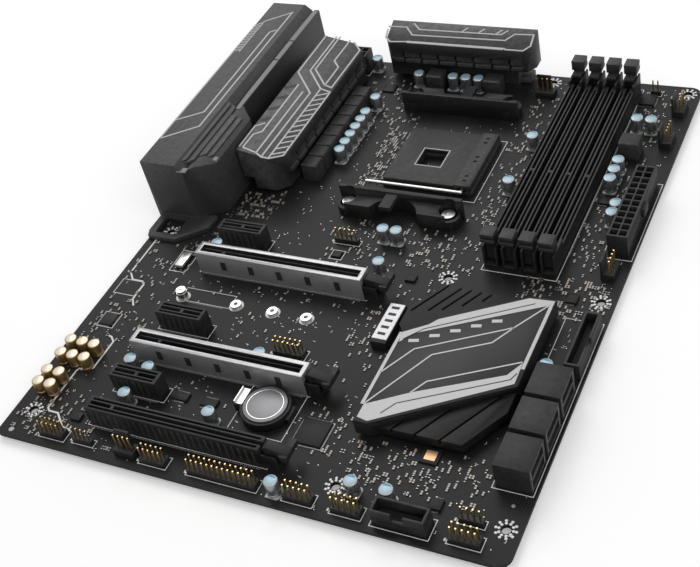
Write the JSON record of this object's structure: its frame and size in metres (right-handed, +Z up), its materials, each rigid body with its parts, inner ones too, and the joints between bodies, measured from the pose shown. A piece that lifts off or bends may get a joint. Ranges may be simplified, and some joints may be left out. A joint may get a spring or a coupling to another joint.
{
  "type": "atx motherboard",
  "caption": "Bare full-size computer motherboard with a port cover, finned heatsinks, processor socket, latching memory slots and shielded card slots.",
  "frame": {"origin": "middle of the footprint, at the tips of the solder tails the board lies on", "axes": "+X from the rear port edge to the front edge, +Y from the header edge to the processor edge, +Z up out of the board"},
  "size_m": [0.2478, 0.3048, 0.0396],
  "materials": {
    "atx_power_connector": "matt",
    "audio_capacitors": "gold sleeve",
    "audio_jacks": "matt",
    "battery": "satin",
    "battery_clip": "spring steel",
    "battery_holder": "matt",
    "chips": "matt",
    "chipset": "gloss",
    "chipset_badge": "dark brushed",
    "chipset_heatsink": "black anodised",
    "chokes": "matt moulded",
    "cpu_backplate": "satin",
    "cpu_bracket_lower": "matt",
    "cpu_bracket_screws": "satin",
    "cpu_bracket_upper": "matt",
    "cpu_power_connector": "matt",
    "cpu_socket_base": "matt",
    "cpu_socket_lever": "bright wire",
    "cpu_socket_slide": "matt",
    "dimm_latch_1_far": "matt",
    "dimm_latch_1_near": "matt",
    "dimm_latch_2_far": "matt",
    "dimm_latch_2_near": "matt",
    "dimm_latch_3_far": "matt",
    "dimm_latch_3_near": "matt",
    "dimm_latch_4_far": "matt",
    "dimm_latch_4_near": "matt",
    "dimm_slot_1": "matt",
    "dimm_slot_2": "matt",
    "dimm_slot_3": "matt",
    "dimm_slot_4": "matt",
    "display_ports": "bright",
    "header_bases": "matt",
    "header_pins": "gold plated",
    "heatsink_screws": "satin",
    "io_cover": "matt",
    "lan_usb_port": "bright",
    "m2_mounts": "bright",
    "m2_socket": "satin",
    "mosfets": "matt",
    "pcb": "matt solder mask",
    "pcie_latch_1": "matt",
    "pcie_latch_2": "matt",
    "pcie_latch_3": "matt",
    "pcie_shield_1": "bright sheet",
    "pcie_shield_2": "bright sheet",
    "pcie_x16_slot_1": "matt",
    "pcie_x16_slot_2": "matt",
    "pcie_x16_slot_3": "matt",
    "pcie_x1_slots": "matt",
    "polymer_capacitors": "bright can",
    "ps2_usb_port": "bright",
    "sata_ports": "matt",
    "solder_tails": "tinned",
    "thermal_pads": "matt",
    "usb3_headers": "matt",
    "usb_ports": "bright",
    "vrm_heatsink_left": "dark anodised",
    "vrm_heatsink_top": "dark anodised"
  },
  "bodies": {
    "board": {"atx_power_connector": "atx_power_connector", "audio_capacitors": "audio_capacitors", "audio_jacks": "audio_jacks", "battery_clip": "battery_clip", "battery_holder": "battery_holder", "chips": "chips", "chipset": "chipset", "chipset_badge": "chipset_badge", "chipset_heatsink": "chipset_heatsink", "chokes": "chokes", "cpu_backplate": "cpu_backplate", "cpu_bracket_lower": "cpu_bracket_lower", "cpu_bracket_screws": "cpu_bracket_screws", "cpu_bracket_upper": "cpu_bracket_upper", "cpu_power_connector": "cpu_power_connector", "cpu_socket_base": "cpu_socket_base", "dimm_slot_1": "dimm_slot_1", "dimm_slot_2": "dimm_slot_2", "dimm_slot_3": "dimm_slot_3", "dimm_slot_4": "dimm_slot_4", "display_ports": "display_ports", "header_bases": "header_bases", "header_pins": "header_pins", "heatsink_screws": "heatsink_screws", "io_cover": "io_cover", "lan_usb_port": "lan_usb_port", "m2_mounts": "m2_mounts", "m2_socket": "m2_socket", "mosfets": "mosfets", "pcb": "pcb", "pcie_shield_1": "pcie_shield_1", "pcie_shield_2": "pcie_shield_2", "pcie_x16_slot_1": "pcie_x16_slot_1", "pcie_x16_slot_2": "pcie_x16_slot_2", "pcie_x16_slot_3": "pcie_x16_slot_3", "pcie_x1_slots": "pcie_x1_slots", "polymer_capacitors": "polymer_capacitors", "ps2_usb_port": "ps2_usb_port", "sata_ports": "sata_ports", "solder_tails": "solder_tails", "thermal_pads": "thermal_pads", "usb3_headers": "usb3_headers", "usb_ports": "usb_ports", "vrm_heatsink_left": "vrm_heatsink_left", "vrm_heatsink_top": "vrm_heatsink_top"},
    "dimm_latch_1_near": {"dimm_latch_1_near": "dimm_latch_1_near"},
    "dimm_latch_1_far": {"dimm_latch_1_far": "dimm_latch_1_far"},
    "dimm_latch_2_near": {"dimm_latch_2_near": "dimm_latch_2_near"},
    "dimm_latch_2_far": {"dimm_latch_2_far": "dimm_latch_2_far"},
    "dimm_latch_3_near": {"dimm_latch_3_near": "dimm_latch_3_near"},
    "dimm_latch_3_far": {"dimm_latch_3_far": "dimm_latch_3_far"},
    "dimm_latch_4_near": {"dimm_latch_4_near": "dimm_latch_4_near"},
    "dimm_latch_4_far": {"dimm_latch_4_far": "dimm_latch_4_far"},
    "pcie_latch_1": {"pcie_latch_1": "pcie_latch_1"},
    "pcie_latch_2": {"pcie_latch_2": "pcie_latch_2"},
    "pcie_latch_3": {"pcie_latch_3": "pcie_latch_3"},
    "socket_slide": {"cpu_socket_slide": "cpu_socket_slide"},
    "socket_lever": {"cpu_socket_lever": "cpu_socket_lever"},
    "coin_cell": {"battery": "battery"}
  },
  "joints": [
    {"name": "dimm_latch_1_near_open", "type": "hinge", "parent": "board", "child": "dimm_latch_1_near", "pos_m": [0.06228, 0.0043, 0.0082], "axis": [1, 0, 0], "range_deg": [0, 30]},
    {"name": "dimm_latch_1_far_open", "type": "hinge", "parent": "board", "child": "dimm_latch_1_far", "pos_m": [0.06228, 0.1404, 0.0082], "axis": [-1, 0, 0], "range_deg": [0, 30]},
    {"name": "dimm_latch_2_near_open", "type": "hinge", "parent": "board", "child": "dimm_latch_2_near", "pos_m": [0.07153, 0.0043, 0.0082], "axis": [1, 0, 0], "range_deg": [0, 30]},
    {"name": "dimm_latch_2_far_open", "type": "hinge", "parent": "board", "child": "dimm_latch_2_far", "pos_m": [0.07153, 0.1404, 0.0082], "axis": [-1, 0, 0], "range_deg": [0, 30]},
    {"name": "dimm_latch_3_near_open", "type": "hinge", "parent": "board", "child": "dimm_latch_3_near", "pos_m": [0.08078, 0.0043, 0.0082], "axis": [1, 0, 0], "range_deg": [0, 30]},
    {"name": "dimm_latch_3_far_open", "type": "hinge", "parent": "board", "child": "dimm_latch_3_far", "pos_m": [0.08078, 0.1404, 0.0082], "axis": [-1, 0, 0], "range_deg": [0, 30]},
    {"name": "dimm_latch_4_near_open", "type": "hinge", "parent": "board", "child": "dimm_latch_4_near", "pos_m": [0.09003, 0.0043, 0.0082], "axis": [1, 0, 0], "range_deg": [0, 30]},
    {"name": "dimm_latch_4_far_open", "type": "hinge", "parent": "board", "child": "dimm_latch_4_far", "pos_m": [0.09003, 0.1404, 0.0082], "axis": [-1, 0, 0], "range_deg": [0, 30]},
    {"name": "pcie_latch_1_press", "type": "hinge", "parent": "board", "child": "pcie_latch_1", "pos_m": [0.01518, -0.0304, 0.0078], "axis": [0, 1, 0], "range_deg": [0, 20]},
    {"name": "pcie_latch_2_press", "type": "hinge", "parent": "board", "child": "pcie_latch_2", "pos_m": [0.01518, -0.09136, 0.0078], "axis": [0, 1, 0], "range_deg": [0, 20]},
    {"name": "pcie_latch_3_press", "type": "hinge", "parent": "board", "child": "pcie_latch_3", "pos_m": [0.01518, -0.132, 0.0078], "axis": [0, 1, 0], "range_deg": [0, 20]},
    {"name": "socket_lever_lift", "type": "hinge", "parent": "board", "child": "socket_lever", "pos_m": [0.03053, 0.0561, 0.007], "axis": [0, 1, 0], "range_deg": [0, 95]},
    {"name": "socket_slide_shift", "type": "slide", "parent": "board", "child": "socket_slide", "axis": [1, 0, 0], "range_m": [0, 0.0013]},
    {"name": "coin_cell_lift", "type": "slide", "parent": "board", "child": "coin_cell", "axis": [0, 0, 1], "range_m": [0, 0.015]}
  ],
  "couplings": [
    {"joint": "socket_slide_shift", "follows": "socket_lever_lift", "m_per_rad": 0.00077802}
  ]
}
